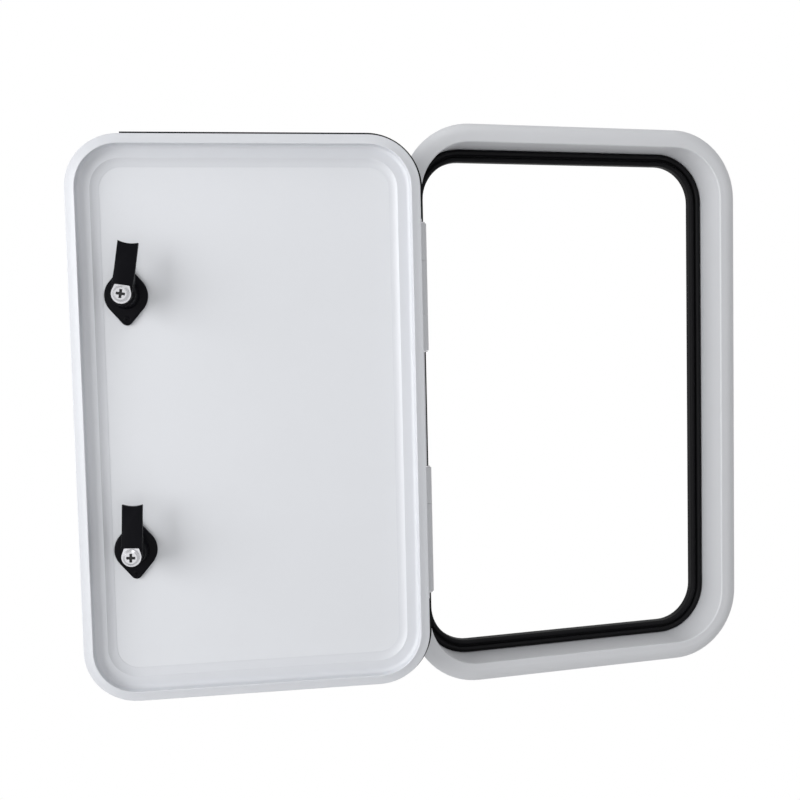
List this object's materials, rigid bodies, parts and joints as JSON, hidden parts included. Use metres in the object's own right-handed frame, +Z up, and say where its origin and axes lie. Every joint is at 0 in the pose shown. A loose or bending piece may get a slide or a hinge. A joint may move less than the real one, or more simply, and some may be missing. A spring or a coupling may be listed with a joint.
{
  "type": "caravan storage door",
  "caption": "Flush storage door for a caravan wall: rounded flanged frame with a rubber seal, sandwich leaf on knuckle hinges and cam latches, shown swung open.",
  "frame": {"origin": "middle of the opening on the back of the flange, where it lies against the wall's outer skin", "axes": "+X to the right seen from outside, +Y into the wall, +Z up"},
  "size_m": [0.7718, 0.1051, 0.6384],
  "materials": {
    "white_powder_coat": "white powder coat on aluminium, satin",
    "white_sheet": "white coated sheet, satin",
    "foam": "rigid foam core",
    "black_rubber": "black rubber, dull",
    "black_plastic": "black moulded plastic, satin",
    "zinc_steel": "zinc plated steel",
    "bright_steel": "bright steel"
  },
  "bodies": {
    "frame": {"frame_extrusion": "white_powder_coat", "frame_seal": "black_rubber", "hinge_lower_frame_leaf": "white_powder_coat", "hinge_lower_pin": "bright_steel", "hinge_upper_frame_leaf": "white_powder_coat", "hinge_upper_pin": "bright_steel"},
    "door": {"door_core": "foam", "door_edge_frame": "white_powder_coat", "door_gasket_lower": "black_rubber", "door_gasket_upper": "black_rubber", "door_inner_panel": "white_sheet", "door_outer_skin": "white_sheet", "hinge_lower_door_leaf": "white_powder_coat", "hinge_upper_door_leaf": "white_powder_coat", "latch_lower_base_plate": "black_plastic", "latch_lower_escutcheon": "black_plastic", "latch_upper_base_plate": "black_plastic", "latch_upper_escutcheon": "black_plastic"},
    "latch_upper": {"latch_upper_handle": "black_plastic", "latch_upper_screw": "bright_steel", "latch_upper_spindle": "zinc_steel", "latch_upper_tongue": "black_plastic", "latch_upper_washer": "bright_steel"},
    "latch_lower": {"latch_lower_handle": "black_plastic", "latch_lower_screw": "bright_steel", "latch_lower_spindle": "zinc_steel", "latch_lower_tongue": "black_plastic", "latch_lower_washer": "bright_steel"}
  },
  "joints": [
    {"name": "door_hinge", "type": "hinge", "parent": "frame", "child": "door", "pos_m": [-0.1895, -0.0154, 0], "axis": [0, 0, 1], "range_deg": [0, 186.5]},
    {"name": "latch_upper_turn", "type": "hinge", "parent": "door", "child": "latch_upper", "pos_m": [-0.50882, -0.02662, 0.13], "axis": [-0.1132, -0.9936, 0], "range_deg": [0, 99]},
    {"name": "latch_lower_turn", "type": "hinge", "parent": "door", "child": "latch_lower", "pos_m": [-0.50882, -0.02662, -0.1353], "axis": [-0.1132, -0.9936, 0], "range_deg": [0, 92.6]}
  ]
}
